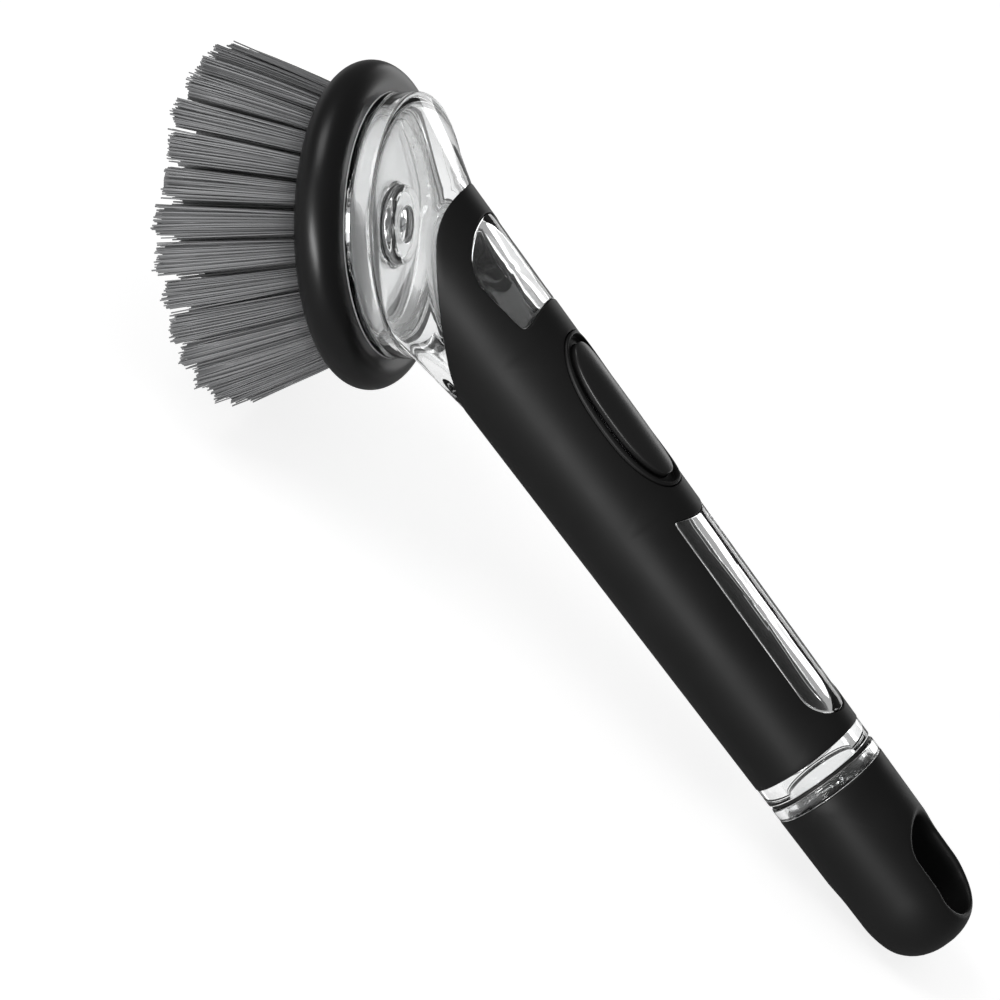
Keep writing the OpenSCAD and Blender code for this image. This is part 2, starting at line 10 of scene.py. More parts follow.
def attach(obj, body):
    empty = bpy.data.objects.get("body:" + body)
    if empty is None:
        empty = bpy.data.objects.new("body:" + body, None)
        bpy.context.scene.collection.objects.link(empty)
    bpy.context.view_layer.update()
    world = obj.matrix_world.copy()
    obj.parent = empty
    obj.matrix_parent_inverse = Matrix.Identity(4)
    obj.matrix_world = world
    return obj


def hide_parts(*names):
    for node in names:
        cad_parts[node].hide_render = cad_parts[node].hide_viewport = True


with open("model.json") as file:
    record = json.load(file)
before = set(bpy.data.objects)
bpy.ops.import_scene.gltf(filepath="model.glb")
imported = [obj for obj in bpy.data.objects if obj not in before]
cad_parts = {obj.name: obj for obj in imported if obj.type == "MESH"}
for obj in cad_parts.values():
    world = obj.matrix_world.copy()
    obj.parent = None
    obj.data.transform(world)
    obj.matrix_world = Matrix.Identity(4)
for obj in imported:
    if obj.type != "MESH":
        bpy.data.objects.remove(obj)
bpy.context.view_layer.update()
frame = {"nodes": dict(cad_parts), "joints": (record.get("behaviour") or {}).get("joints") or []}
print("frame loaded")

mm = 0.001      # lengths below are millimetres until a mesh is made
quarter = math.pi / 2
fullTurn = 2 * math.pi


# Directions and starting points, all from the joints of the frame

def unit(v):
    v = np.array(v, float)
    return v / np.linalg.norm(v)


jointOf = {j["name"]: j for j in frame["joints"]}
sideways = np.array([0.0, 1.0, 0.0])
headUp = -unit(jointOf["head_turn"]["axis"])          # from the bristles to the dome
headTail = np.cross(sideways, headUp)                 # across the ring, towards the tail
tailward = unit(jointOf["cap_turn"]["axis"])          # along the handle
thumbward = -unit(jointOf["button_press"]["axis"])    # out of the button
jointPlaces = {"belowRingFace": 5.65, "alongHandle": 153.5}
ringFace = np.array(jointOf["head_turn"]["pos_m"]) / mm + jointPlaces["belowRingFace"] * headUp
handleStart = np.array(jointOf["cap_turn"]["pos_m"]) / mm - jointPlaces["alongHandle"] * tailward
axisRise = float((handleStart - ringFace) @ headUp)
elbow = math.acos(float(tailward @ headTail))


def onHead(x, y, z):      # head frame: x to the tail, z from the ring's face towards the dome
    x, y, z = np.broadcast_arrays(x, y, z)
    return ringFace + x[..., None] * headTail + y[..., None] * sideways + z[..., None] * headUp


def onHandle(x, y, s):    # handle frame: x to the thumb, s along the handle
    x, y, s = np.broadcast_arrays(x, y, s)
    return handleStart + x[..., None] * thumbward - y[..., None] * sideways + s[..., None] * tailward


# Surfaces as grids of points

def gridFaces(rows, columns, wrapRows, wrapColumns):
    # one face of four corners between each point of a grid and its next row and column
    a, b = np.meshgrid(np.arange(rows if wrapRows else rows - 1),
                       np.arange(columns if wrapColumns else columns - 1), indexing="ij")
    a, b = a.ravel(), b.ravel()
    a2, b2 = (a + 1) % rows, (b + 1) % columns
    return np.stack([a * columns + b, a * columns + b2, a2 * columns + b2, a2 * columns + b], 1)


def surface(grid, wrapRows=False, wrapColumns=True):
    # points and faces of a grid of points: rows x columns x 3
    rows, columns = grid.shape[:2]
    return grid.reshape(-1, 3), gridFaces(rows, columns, wrapRows, wrapColumns)


def joined(*shapes):
    # several shapes as one, their faces counted on
    starts = np.cumsum([0] + [len(points) for points, faces in shapes[:-1]])
    return (np.concatenate([points for points, faces in shapes]),
            np.concatenate([faces + start for (points, faces), start in zip(shapes, starts)]))


def rounded(corners, closed=True, steps=5):
    # each corner (a, b, radius) becomes an arc that touches both of its sides
    mostOfSide = 0.49      # an arc takes up less than half of either side
    line = []
    last = len(corners) - 1
    for i, (a, b, radius) in enumerate(corners):
        corner = np.array([a, b], float)
        if radius == 0 or (not closed and i in (0, last)):
            line.append(corner)
            continue
        before = np.array(corners[i - 1][:2], float) - corner
        after = np.array(corners[(i + 1) % len(corners)][:2], float) - corner
        u, v = unit(before), unit(after)
        half = math.acos(max(-1.0, min(1.0, float(u @ v)))) / 2
        shorter = min(np.linalg.norm(before), np.linalg.norm(after))
        cut = min(radius / math.tan(half), mostOfSide * shorter)
        centre = corner + unit(u + v) * cut / math.cos(half)
        bend = math.pi - 2 * half
        for t in np.linspace(0, 1, steps + 1):
            start = math.sin((1 - t) * bend) / math.sin(bend)
            end = math.sin(t * bend) / math.sin(bend)
            line.append(centre + (corner + u * cut - centre) * start + (corner + v * cut - centre) * end)
    return np.array(line)


def filled(profile, spacing):
    # extra points on the long straight stretches of a profile
    line = [profile[0]]
    for p, q in zip(profile[:-1], profile[1:]):
        steps = max(1, int(np.linalg.norm(q - p) / spacing))
        line += [p + (q - p) * k / steps for k in range(1, steps + 1)]
    return np.array(line)


def revolved(profile, place, closed=True, turns=192, shapeRadius=None):
    # a profile of (radius, height) points carried round an axis; shapeRadius may change the radius
    angle = np.linspace(0, fullTurn, turns, endpoint=False)
    r, h = profile[:, :1] + 0 * angle, profile[:, 1:] + 0 * angle
    if shapeRadius:
        r = shapeRadius(r, h, angle)
    return surface(place(r * np.cos(angle), r * np.sin(angle), h), wrapRows=closed)


joining = {"distance": 2e-6, "flat": 1e-7, "sharpAngle": 38}      # metres, metres and degrees


def makePiece(name, shape, body, slotName, standsFor, look=None, weld=True):
    # a mesh from points in millimetres, welded and smooth apart from its sharp edges, hung on its body;
    # it wears the look with its slot's name, or the one that is named
    points, faces = shape
    mesh = bpy.data.meshes.new(name)
    mesh.from_pydata((points * mm).tolist(), [], faces.tolist())
    work = bmesh.new()
    work.from_mesh(mesh)
    if weld:
        bmesh.ops.remove_doubles(work, verts=work.verts, dist=joining["distance"])
        bmesh.ops.dissolve_degenerate(work, dist=joining["flat"], edges=work.edges)
    bmesh.ops.recalc_face_normals(work, faces=work.faces)
    work.to_mesh(mesh)
    work.free()
    mesh.polygons.foreach_set("use_smooth", np.ones(len(mesh.polygons), bool))
    if weld:
        mesh.set_sharp_from_angle(angle=math.radians(joining["sharpAngle"]))
    mesh.materials.append(looks[look or slotName])
    piece = bpy.data.objects.new(name, mesh)
    bpy.context.scene.collection.objects.link(piece)
    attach(piece, body)
    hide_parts(*standsFor)
    return piece


# Materials: one shader each, with grain, roughness and bump from noise in object coordinates

noiseRange = (0.3, 0.7)      # nearly all of a noise lies between these


def newMaterial(name, settings):
    material = bpy.data.materials.new(name)
    material.use_nodes = True
    shader = material.node_tree.nodes["Principled BSDF"]
    for socket, value in settings.items():
        shader.inputs[socket].default_value = value
    return material, material.node_tree.nodes, material.node_tree.links, shader


def addNoise(nodes, links, scale, detail=4.0):
    place = nodes.new("ShaderNodeTexCoord")
    noise = nodes.new("ShaderNodeTexNoise")
    noise.inputs["Scale"].default_value = scale
    noise.inputs["Detail"].default_value = detail
    links.new(place.outputs["Object"], noise.inputs["Vector"])
    return noise.outputs["Fac"]


def spread(nodes, links, source, low, high):
    # a noise carried over to the range from low to high
    remap = nodes.new("ShaderNodeMapRange")
    remap.inputs["From Min"].default_value, remap.inputs["From Max"].default_value = noiseRange
    remap.inputs["To Min"].default_value = low
    remap.inputs["To Max"].default_value = high
    links.new(source, remap.inputs["Value"])
    return remap.outputs["Result"]


def addBump(nodes, links, shader, source, strength, depth):
    bump = nodes.new("ShaderNodeBump")
    bump.inputs["Strength"].default_value = strength
    bump.inputs["Distance"].default_value = depth
    links.new(source, bump.inputs["Height"])
    links.new(bump.outputs["Normal"], shader.inputs["Normal"])


def addTint(nodes, links, shader, source, dark, pale):
    ramp = nodes.new("ShaderNodeValToRGB")
    for element, position, colour in zip(ramp.color_ramp.elements, noiseRange, (dark, pale)):
        element.position = position
        element.color = (*colour, 1)
    links.new(source, ramp.inputs["Fac"])
    links.new(ramp.outputs["Color"], shader.inputs["Base Color"])


def grainyMaterial(name, look):
    # broad noise for tint and roughness, fine noise for the bump
    material, nodes, links, shader = newMaterial(name, look["sockets"])
    fine = addNoise(nodes, links, look["grain"])
    broad = addNoise(nodes, links, look["mottle"], 2.0)
    links.new(spread(nodes, links, broad, *look["roughness"]), shader.inputs["Roughness"])
    addTint(nodes, links, shader, broad, look["dark"], look["pale"])
    addBump(nodes, links, shader, fine, look["bump"], look["depth"])
    return material


finishes = {
    "soft_black_rubber": {"sockets": {"Specular IOR Level": 0.26}, "grain": 5200, "mottle": 60,
                          "roughness": (0.46, 0.54), "bump": 0.10, "depth": 0.00004,
                          "dark": (0.0072, 0.0072, 0.0072), "pale": (0.0090, 0.0090, 0.0090)},
    "button_rubber": {"sockets": {"Specular IOR Level": 0.40}, "grain": 5200, "mottle": 60,
                      "roughness": (0.30, 0.35), "bump": 0.10, "depth": 0.00004,
                      "dark": (0.0110, 0.0110, 0.0110), "pale": (0.0130, 0.0130, 0.0130)},
    "ring_plastic": {"sockets": {"Specular IOR Level": 0.40}, "grain": 900, "mottle": 40,
                     "roughness": (0.32, 0.37), "bump": 0.05, "depth": 0.00005,
                     "dark": (0.0050, 0.0050, 0.0052), "pale": (0.0065, 0.0065, 0.0068)},
    "black_plastic": {"sockets": {"Specular IOR Level": 0.30}, "grain": 1400, "mottle": 90,
                      "roughness": (0.42, 0.50), "bump": 0.08, "depth": 0.00005,
                      "dark": (0.0060, 0.0060, 0.0060), "pale": (0.0085, 0.0085, 0.0085)},
    "black_seal": {"sockets": {"Specular IOR Level": 0.35}, "grain": 1800, "mottle": 120,
                   "roughness": (0.50, 0.60), "bump": 0.12, "depth": 0.00004,
                   "dark": (0.0120, 0.0120, 0.0120), "pale": (0.0180, 0.0180, 0.0180)},
    "silicone": {"sockets": {"Transmission Weight": 0.45, "IOR": 1.41}, "grain": 1200, "mottle": 80,
                 "roughness": (0.30, 0.38), "bump": 0.05, "depth": 0.00005,
                 "dark": (0.66, 0.67, 0.68), "pale": (0.74, 0.75, 0.76)},
    "pale_plate": {"sockets": {"Specular IOR Level": 0.45}, "grain": 900, "mottle": 50,
                   "roughness": (0.30, 0.40), "bump": 0.05, "depth": 0.00005,
                   "dark": (0.74, 0.74, 0.745), "pale": (0.84, 0.84, 0.845)},
    "spring_steel": {"sockets": {"Metallic": 1.0}, "grain": 2500, "mottle": 200,
                     "roughness": (0.20, 0.30), "bump": 0.06, "depth": 0.00003,
                     "dark": (0.55, 0.55, 0.56), "pale": (0.64, 0.64, 0.65)}}
clearLook = {"colour": (0.985, 0.99, 0.99), "haze": 70, "roughness": (0.0, 0.035), "waves": 45,
             "bump": 0.22, "depth": 0.00035}
bristleLook = {"dark": (0.120, 0.121, 0.124), "pale": (0.270, 0.272, 0.277), "mottle": 400,
               "roughness": (0.38, 0.55), "grain": 3000, "bump": 0.15, "depth": 0.00003}


def clearMaterial():
    # clear plastic with a trace of haze and the slow waves of a moulding
    look = clearLook
    sockets = {"Base Color": (*look["colour"], 1), "Transmission Weight": 1.0, "IOR": 1.49}
    material, nodes, links, shader = newMaterial("clear_plastic", sockets)
    haze = addNoise(nodes, links, look["haze"], 2.0)
    waves = addNoise(nodes, links, look["waves"], 1.0)
    links.new(spread(nodes, links, haze, *look["roughness"]), shader.inputs["Roughness"])
    addBump(nodes, links, shader, waves, look["bump"], look["depth"])
    return material


def bristleMaterial():
    # each strand's tone from dark to pale, with a fine grain; the tone holds painted shade that darkens the
    # strands towards the roots of the tufts
    look = bristleLook
    material, nodes, links, shader = newMaterial("grey_bristle", {"Specular IOR Level": 0.42, "IOR": 1.5})
    shade = nodes.new("ShaderNodeAttribute")
    shade.attribute_name = "shade"
    addTint(nodes, links, shader, shade.outputs["Fac"], look["dark"], look["pale"])
    mottle = addNoise(nodes, links, look["mottle"], 3.0)
    grain = addNoise(nodes, links, look["grain"], 2.0)
    links.new(spread(nodes, links, mottle, *look["roughness"]), shader.inputs["Roughness"])
    addBump(nodes, links, shader, grain, look["bump"], look["depth"])
    return material


looks = {name: grainyMaterial(name, finish) for name, finish in finishes.items()}
looks["clear_plastic"] = clearMaterial()
looks["grey_bristle"] = bristleMaterial()
print("materials made")


# The handle: radius along it, the slanted plane where the grip starts, and the outlines cut into it

handle = {"radius": 16.12, "taper": 0.0134, "gripEnd": 148.7, "gripWall": 2.0, "gripLip": 0.28,
          "clearGap": 0.05, "clearWall": 1.95, "clearLip": 0.1, "flush": 0.15, "straightDepth": 2.05,
          "frontHeight": 15.0, "tongueRise": 2.9, "tongueFrom": 0.5, "patchAngle": 78,
          "betweenFrontAndButton": 36.6, "betweenButtonAndRear": 84.0,
          "sideCount": 64, "backCount": 44, "lipSteps": 4}
sleeveDepth = handle["gripWall"] + handle["clearGap"]      # from the grip's surface to the clear body
boreDepth = sleeveDepth + handle["clearWall"]              # and to the soap
frontWindow = {"roundCentre": 18.8, "roundRadius": 11.7, "cornerCentre": (32.1, 8.8), "cornerRadius": 1.5,
               "edge": 33.6, "edgeHalf": 10.3, "bulge": 2.4, "towards": 1, "soften": 4.0}
rearWindow = {"roundCentre": 135.9, "roundRadius": 8.4, "cornerCentre": (87.8, 7.4), "cornerRadius": 1.0,
              "edge": 86.8, "edgeHalf": 8.4, "bulge": 2.4, "towards": -1, "soften": 1.6}
recess = {"centre": 60.4, "halfLength": 20.9, "halfWidth": 9.5, "power": 2.5}


def gripRadius(s):
    # a slow, straight taper
    return handle["radius"] - handle["taper"] * s


def tipRise(phi):
    # on the thumb side the front edge climbs off its plane, so that the grip ends in a round tongue
    share = np.clip((np.cos(phi) - handle["tongueFrom"]) / (1 - handle["tongueFrom"]), 0, 1)
    return handle["tongueRise"] * share ** 2


def slantedStart(phi, depth, height, tongue=True):
    # where the surface at that depth meets the plane at that height above the ring
    lean = np.cos(phi) * math.cos(elbow)
    return ((height + (tipRise(phi) if tongue else 0) - axisRise - (handle["radius"] - depth) * lean)
            / (math.sin(elbow) - handle["taper"] * lean))


def arc(centre, radius, start, end, count):
    # points on a circle, in even steps of angle
    angle = np.linspace(start, end, count)
    return np.stack([centre[0] + radius * np.cos(angle), centre[1] + radius * np.sin(angle)], 1)


def softened(loop, reach, count=720):
    # even steps along the loop, then each point becomes the mean of its neighbours within the reach
    closedLoop = np.vstack([loop, loop[:1]])
    travel = np.concatenate([[0], np.cumsum(np.linalg.norm(np.diff(closedLoop, axis=0), axis=1))])
    steps = np.linspace(0, travel[-1], count, endpoint=False)
    even = np.stack([np.interp(steps, travel, closedLoop[:, k]) for k in (0, 1)], 1)
    near = max(1, round(reach / travel[-1] * count / 2))
    return sum(np.roll(even, k, 0) for k in range(-near, near + 1)) / (2 * near + 1)


def windowOutline(w, inset=0.0):
    # half of it: big arc, straight side, small corner arc, then the arc that faces the button; mirrored
    away = w["towards"]
    big, small = w["roundRadius"] - inset, w["cornerRadius"] - inset
    corner = np.array([(w["cornerCentre"][0] - w["roundCentre"]) * away, w["cornerCentre"][1]])
    touch = math.atan2(corner[1], corner[0]) + math.acos((big - small) / np.linalg.norm(corner))
    edgeRadius = (w["edgeHalf"] ** 2 + w["bulge"] ** 2) / (2 * w["bulge"])
    edgeCentre = (w["edge"] - w["roundCentre"]) * away - w["bulge"] + edgeRadius
    roundPart = arc((0, 0), big, math.pi, touch, 60)
    cornerPart = arc(corner, small, touch, -1.2, 60)      # runs on past the edge's arc and is cut there
    beforeEdge = np.hypot(cornerPart[:, 0] - edgeCentre, cornerPart[:, 1]) >= edgeRadius + inset
    cornerPart = cornerPart[beforeEdge]
    y = np.linspace(cornerPart[-1, 1], 0, 40)[1:]
    edgePart = np.stack([edgeCentre - np.sqrt((edgeRadius + inset) ** 2 - y ** 2), y], 1)
    half = np.concatenate([roundPart, cornerPart, edgePart])
    whole = np.concatenate([half, half[-2:0:-1] * [1, -1]])
    return softened(np.stack([w["roundCentre"] + away * whole[:, 0], whole[:, 1]], 1), w["soften"])


def ovalOutline(inset=0.0, count=400):
    # an ellipse filled out by a power: sign(cos) |cos| ** (2 / power), and the same with sin
    angle = np.linspace(0, fullTurn, count, endpoint=False)
    circle = np.stack([np.cos(angle), np.sin(angle)], 1)
    full = np.sign(circle) * np.abs(circle) ** (2 / recess["power"])
    halves = np.array([recess["halfLength"] - inset, recess["halfWidth"] - inset])
    return full * halves + [recess["centre"], 0]


def squareEdge(count):
    # points round a square from -1 to 1, with count steps on each side
    t = np.linspace(-1, 1, count, endpoint=False)
    one = np.ones(count)
    return np.concatenate([one, -t, -one, t]), np.concatenate([t, one, -t, -one])


def atSquareAngles(outline, u, v):
    # the point of the outline that lies in the direction of each point of the square
    low, high = outline.min(0), outline.max(0)
    centre, halves = (low + high) / 2, (high - low) / 2
    centre[1] = 0
    angle = np.arctan2(outline[:, 1] / halves[1], (outline[:, 0] - centre[0]) / halves[0])
    wanted = np.arctan2(v, u)
    order = np.argsort(angle)
    angle, outline = angle[order], outline[order]
    return np.stack([np.interp(wanted, angle, outline[:, k], period=fullTurn) for k in (0, 1)], 1)


def grown(loop, distance):
    # the loop moved outwards along its own normals
    along = np.roll(loop, -1, 0) - np.roll(loop, 1, 0)
    normal = np.stack([along[:, 1], -along[:, 0]], 1)
    normal /= np.linalg.norm(normal, axis=1)[:, None]
    area = np.sum(loop[:, 0] * np.roll(loop[:, 1], -1) - loop[:, 1] * np.roll(loop[:, 0], -1))
    return loop + distance * normal * np.sign(area)


def wallAngle(loop, depth, radiusAt=gripRadius):
    # down to straightDepth the walls of a cut stand parallel, and further in they lean towards the axis
    reach = radiusAt(loop[:, 0]) - np.minimum(depth, handle["straightDepth"])
    return np.arcsin(np.clip(loop[:, 1] / reach, -1, 1))


def lipRings(loop, depth, lip, radiusAt=gripRadius, steps=handle["lipSteps"]):
    # rings over the rounded edge of a cut: out by lip(1 - cos), down by lip(1 - sin)
    rings = []
    for bend in np.linspace(0, quarter, steps + 1):
        out = grown(loop, lip * (1 - math.cos(bend)))
        down = depth + lip * (1 - math.sin(bend))
        rings.append((out[:, 0], wallAngle(out, down, radiusAt), down + 0 * out[:, 0]))
    return rings


def ringsBetween(a, b, shares):
    # straight steps from one ring to another
    return [tuple(p + (q - p) * share for p, q in zip(a, b)) for share in shares]


def barrel(rings):
    # rings of (place along the handle, angle, depth under the grip's surface) as points in space
    s, phi, depth = (np.array([ring[k] for ring in rings]) for k in range(3))
    r = gripRadius(s) - depth
    return onHandle(r * np.cos(phi), r * np.sin(phi), s)


outwardShares = (0.05, 0.12, 0.22, 0.34, 0.48, 0.64, 0.82, 1.0)      # finer near a cut, wider away from it


def barrelShell(topDepth, bottomDepth, lip, height, end, outlines):
    # a tapered sleeve in two skins: a patch round each cut, a plain stretch under them, and both rims
    side = math.radians(handle["patchAngle"])
    count, back = handle["sideCount"], handle["backCount"]
    bends = np.linspace(0, quarter, handle["lipSteps"] + 1)
    sideStart = slantedStart(side, topDepth, height)

    def starts(phi, top):
        depth, level = (topDepth, height + lip) if top else (bottomDepth, height)
        first = slantedStart(phi, depth, level)
        lean = np.maximum(0, slantedStart(phi, topDepth, height) - sideStart)
        return [first, handle["betweenFrontAndButton"] + lean, handle["betweenButtonAndRear"] + 0 * phi,
                (end - lip if top else end) + 0 * phi]

    u, v = squareEdge(count)
    shapes = []
    for index, outline in enumerate(outlines):
        loop = atSquareAngles(outline, u, v)
        phi = v * side
        borders = []
        for top, depth in ((False, bottomDepth), (True, topDepth)):
            near, far = starts(phi, top)[index:index + 2]
            borders.append((near + (far - near) * (u + 1) / 2, phi, depth + 0 * phi))
        bottom = (loop[:, 0], wallAngle(loop, bottomDepth), bottomDepth + 0 * phi)
        lips = lipRings(loop, topDepth, lip)
        rings = (ringsBetween(borders[0], bottom, (0, 0.4, 0.8, 1)) + lips
                 + ringsBetween(lips[-1], borders[1], outwardShares))
        shapes.append(surface(barrel(rings)))
    phi = np.linspace(side, fullTurn - side, back + 1)
    evenShares = np.linspace(0, 1, count + 1)
    for top, depth in ((False, bottomDepth), (True, topDepth)):
        edges = [(edge, phi, depth + 0 * phi) for edge in starts(phi, top)]
        for a, b in zip(edges[:-1], edges[1:]):
            shapes.append(surface(barrel(ringsBetween(a, b, evenShares)), wrapColumns=False))
    phi = np.concatenate([np.linspace(-side, side, count + 1), phi[1:-1]])
    front, rear = [], []
    for bend in bends:
        depth = topDepth + lip * (1 - math.cos(bend))
        level = height + lip * (1 - math.sin(bend))
        front.append((slantedStart(phi, depth, level), phi, depth + 0 * phi))
        rear.append((end - lip * (1 - math.sin(bend)) + 0 * phi, phi, depth + 0 * phi))
    front.append((slantedStart(phi, bottomDepth, height), phi, bottomDepth + 0 * phi))
    rear.append((end + 0 * phi, phi, bottomDepth + 0 * phi))
    return joined(*shapes, surface(barrel(front)), surface(barrel(rear)))


paneLook = {"gap": 0.10, "lip": 0.45, "topShares": (0, 0.15, 0.35, 0.6, 0.8, 0.93, 1),
            "bottomShares": (0.1, 0.3, 0.6, 0.85, 1)}


def windowPane(window, topDepth, middleDepth, bottomDepth):
    # a lens that fills a window: flush top, rounded edge, walls, and the bore under it
    lip = paneLook["lip"]
    u, v = squareEdge(handle["sideCount"])
    loop = atSquareAngles(windowOutline(window, paneLook["gap"]), u, v)
    middle = (loop[:, 0].min() + loop[:, 0].max()) / 2
    none = 0 * loop[:, 0]
    edge = []
    for bend in np.linspace(0, quarter, handle["lipSteps"] + 1):
        out = grown(loop, -lip * (1 - math.sin(bend)))
        down = topDepth + lip * (1 - math.cos(bend))
        edge.append((out[:, 0], wallAngle(out, down), down + none))
    walls = [(loop[:, 0], wallAngle(loop, depth), depth + none) for depth in (middleDepth, bottomDepth)]
    top = ringsBetween((middle + none, none, topDepth + none), edge[0], paneLook["topShares"])
    bottom = ringsBetween(walls[-1], (middle + none, none, bottomDepth + none), paneLook["bottomShares"])
    return surface(barrel(top[:-1] + edge + walls + bottom))


gripOutlines = [windowOutline(frontWindow), ovalOutline(), windowOutline(rearWindow)]
gripShape = barrelShell(0, handle["gripWall"], handle["gripLip"], handle["frontHeight"], handle["gripEnd"],
                        gripOutlines)
makePiece("grip_soft", gripShape, "body", "soft_black_rubber", ["grip_sleeve"])
print("grip made")


# The clear body: head with flange and dome, tube, window panes, tail band with its threaded neck, pump deck

head = {"flangeRadius": 29.85, "flangeHeight": 6.3, "stepWidth": 0.9, "spigotRadius": 27.0,
        "spigotWall": 2.4, "spigotDepth": 5.0, "wall": 2.2, "floorTop": 0.5, "floorUnder": -2.0,
        "bossRadius": 9.0, "bossTop": 3.0, "pocketRadius": 7.3, "pocketTop": 0.2, "outletRadius": 4.0,
        "innerRadius": 26.9, "innerTop": 12.6, "bendInset": 3.4, "bendHeight": 13.8,
        "angles": 160, "spacing": 0.62}
grooves = {"count": 3, "depth": 1.2, "halfWidth": 1.6, "height": -1.9, "lead": 36.0, "from": -51.0, "to": 3.6,
           "wallSlope": 0.25, "endSlope": 1.5, "nearSpigot": 0.2, "highest": -0.05}
tail = {"bandStart": 148.72, "shoulder": 153.5, "bandInset": 0.15, "neckRadius": 10.9, "neckWall": 1.8,
        "neckEnd": 167.0, "threadHeight": 0.8, "lead": 8.0, "threadStart": 158.0, "threadTurn": 270.0,
        "threadFade": 8, "crest": 0.45, "root": 0.8, "nearNeck": 0.02, "angles": 144, "spacing": 0.36}
deck = {"top": 9.5, "bottom": 7.4, "outerInset": 0.3, "innerInset": 5.2, "cupRadius": 3.5, "cupBore": 2.9,
        "cupLow": 1.5, "cupFloor": 1.0, "bridgeTop": 8.6, "bridgeHalf": 4.0, "angles": 64}


def slantedRow(inset, height, angle, tongue=True):
    # the point of the slanted barrel's section at that height whose outward direction is angle
    t = np.arctan2(np.sin(angle) * math.sin(elbow), np.cos(angle))
    phi = t - math.pi
    s = slantedStart(phi, inset, height, tongue)
    r = gripRadius(s) - inset
    rise = tipRise(phi) if tongue else 0 * s
    return (s * math.cos(elbow) - r * np.cos(phi) * math.sin(elbow), -r * np.sin(phi), height + rise)


def spreadRow(radius, inset, height, angle):
    # the hull of a circle and the barrel's section: the one that reaches further in each direction
    x, y, z = slantedRow(inset, height, angle, tongue=False)
    further = x * np.cos(angle) + y * np.sin(angle) > radius
    return (np.where(further, x, radius * np.cos(angle)), np.where(further, y, radius * np.sin(angle)), z)


def grooveDepth(r, z, angle):
    # the steep grooves of the twist lock, cut into the outside of the spigot
    cut = np.zeros_like(r)
    for k in range(grooves["count"]):
        turn = (np.degrees(angle) - 360 * k / grooves["count"] + 180) % 360 - 180
        middle = grooves["height"] + grooves["lead"] * turn / 360
        across = np.clip((grooves["halfWidth"] - np.abs(z - middle)) / grooves["wallSlope"] + 1, 0, 1)
        begin = np.clip((turn - grooves["from"]) / grooves["endSlope"], 0, 1)
        end = np.clip((grooves["to"] - turn) / grooves["endSlope"] + 1, 0, 1)
        cut = np.maximum(cut, across * begin * end)
    onSpigot = (np.abs(r - head["spigotRadius"]) < grooves["nearSpigot"]) & (z < grooves["highest"])
    return r - grooves["depth"] * cut * onSpigot


def clearHead():
    # rows round the head: down the inside of the dome, along a lathe line through floor, boss, spigot
    # and flange, and up the outside, where a circle changes in straight steps into the barrel's section
    angle = np.linspace(0, fullTurn, head["angles"], endpoint=False)
    top = handle["frontHeight"] - handle["clearGap"]
    domeBase = head["flangeRadius"] - head["stepWidth"]
    innerInset = head["wall"] + handle["flush"]
    upper = slantedRow(innerInset, head["innerTop"], angle)
    lower = spreadRow(domeBase - head["wall"], innerInset, head["flangeHeight"] - 1.0, angle)
    inside = [slantedRow(boreDepth, top, angle), slantedRow(head["bendInset"], head["bendHeight"], angle),
              *ringsBetween(upper, lower, np.linspace(0, 1, 10))]
    lining = rounded([
        (head["innerRadius"], head["flangeHeight"] - 1.2, 0), (head["innerRadius"], head["floorTop"], 0.8),
        (head["bossRadius"], head["floorTop"], 1.1), (head["bossRadius"], head["bossTop"], 1.3),
        (head["outletRadius"], head["bossTop"], 0.4), (head["outletRadius"], head["pocketTop"], 0),
        (head["pocketRadius"], head["pocketTop"], 0.2), (head["pocketRadius"], head["floorUnder"], 0.2),
        (head["spigotRadius"] - head["spigotWall"], head["floorUnder"], 0.3),
        (head["spigotRadius"] - head["spigotWall"], -head["spigotDepth"], 0.3),
        (head["spigotRadius"], -head["spigotDepth"], 0.3), (head["spigotRadius"], 0, 0),
        (head["flangeRadius"], 0, 0.35), (head["flangeRadius"], head["flangeHeight"], 0.45),
        (domeBase + 0.1, head["flangeHeight"], 0)], closed=False)
    profile = filled(lining, head["spacing"])
    r, z = profile[:, :1] + 0 * angle, profile[:, 1:] + 0 * angle
    r = grooveDepth(r, z, angle)
    middle = list(zip(r * np.cos(angle), r * np.sin(angle), z))
    base = spreadRow(domeBase, handle["flush"], head["flangeHeight"] + handle["clearGap"], angle)
    rim = slantedRow(handle["flush"], top, angle)
    outside = ringsBetween(base, rim, np.linspace(0, 1, 14))
    rows = inside + middle + outside
    return surface(onHead(*(np.array([row[k] for row in rows]) for k in range(3))), wrapRows=True)


def threaded(base, height, firstTurn):
    # two ridges that climb round a cylinder: full height at the crest, none beyond the root
    def shapeRadius(r, s, angle):
        lift = np.zeros_like(r)
        for k in (0, 1):
            turn = (np.degrees(angle) - firstTurn - 180 * k) % 360
            middle = tail["threadStart"] + tail["lead"] * turn / 360
            across = np.clip((tail["root"] - np.abs(s - middle)) / (tail["root"] - tail["crest"]), 0, 1)
            along = np.clip(np.minimum(turn, tail["threadTurn"] - turn) / tail["threadFade"], 0, 1)
            lift = np.maximum(lift, across * along)
        return np.where(np.abs(r - base) < tail["nearNeck"], r + height * lift, r)

    return shapeRadius


def closedLine(corners, spacing):
    # a closed lathe line with rounded corners and even points on its straight stretches
    line = rounded(corners)
    return filled(np.vstack([line, line[:1]]), spacing)[:-1]


